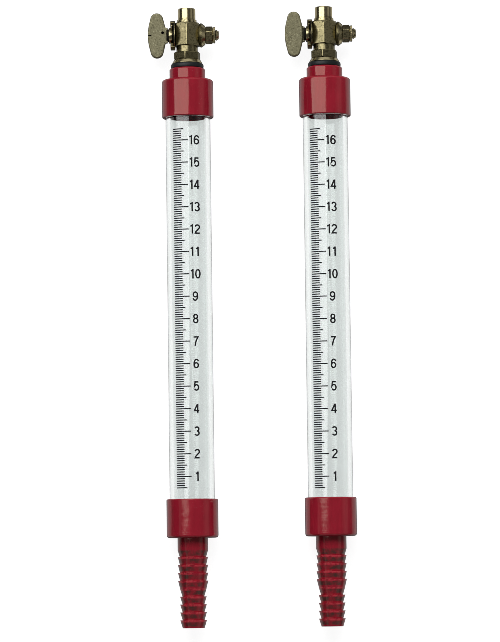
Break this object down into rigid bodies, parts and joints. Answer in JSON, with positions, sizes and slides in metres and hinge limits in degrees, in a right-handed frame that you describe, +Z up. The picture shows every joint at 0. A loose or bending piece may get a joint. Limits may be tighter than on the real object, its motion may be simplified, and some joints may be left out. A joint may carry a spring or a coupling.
{
  "type": "water level sight gauge pair",
  "caption": "Pair of clear graduated sight gauges for a water level, with red end caps, barbed hose tails and brass plug cocks.",
  "frame": {"origin": "centre of the pair's footprint on the surface that the gauges lie on", "axes": "+X from the left gauge to the right one, +Y along the gauges towards the cocks, +Z up"},
  "size_m": [0.0936, 0.2776, 0.023],
  "materials": {
    "brass": "turned",
    "cast_brass": "sand cast paddle, turned plug",
    "red_plastic": "glossy",
    "clear_plastic": "clear, with a printed scale",
    "black_rubber": "smooth"
  },
  "bodies": {
    "left_gauge": {"left_valve_body": "brass", "left_sealing_washer": "black_rubber", "left_neck_bush": "red_plastic", "left_upper_cap": "red_plastic", "left_upper_tube_seal": "black_rubber", "left_sight_tube": "clear_plastic", "left_lower_tube_seal": "black_rubber", "left_lower_cap": "red_plastic", "left_hose_tail": "red_plastic"},
    "left_key": {"left_valve_key": "cast_brass", "left_stop_pin": "brass", "left_key_washer": "brass", "left_key_nut": "brass", "left_lock_nut": "brass"},
    "right_gauge": {"right_valve_body": "brass", "right_sealing_washer": "black_rubber", "right_neck_bush": "red_plastic", "right_upper_cap": "red_plastic", "right_upper_tube_seal": "black_rubber", "right_sight_tube": "clear_plastic", "right_lower_tube_seal": "black_rubber", "right_lower_cap": "red_plastic", "right_hose_tail": "red_plastic"},
    "right_key": {"right_valve_key": "cast_brass", "right_stop_pin": "brass", "right_key_washer": "brass", "right_key_nut": "brass", "right_lock_nut": "brass"}
  },
  "joints": [
    {"name": "left_key_turn", "type": "hinge", "parent": "left_gauge", "child": "left_key", "pos_m": [-0.02917, 0.1267, 0.0115], "axis": [1, 0, 0], "range_deg": [0, 90]},
    {"name": "right_gauge_carry", "type": "slide", "parent": "left_gauge", "child": "right_gauge", "axis": [1, 0, 0], "range_m": [0, 0.2]},
    {"name": "right_key_turn", "type": "hinge", "parent": "right_gauge", "child": "right_key", "pos_m": [0.03243, 0.1267, 0.0115], "axis": [1, 0, 0], "range_deg": [0, 90]}
  ]
}
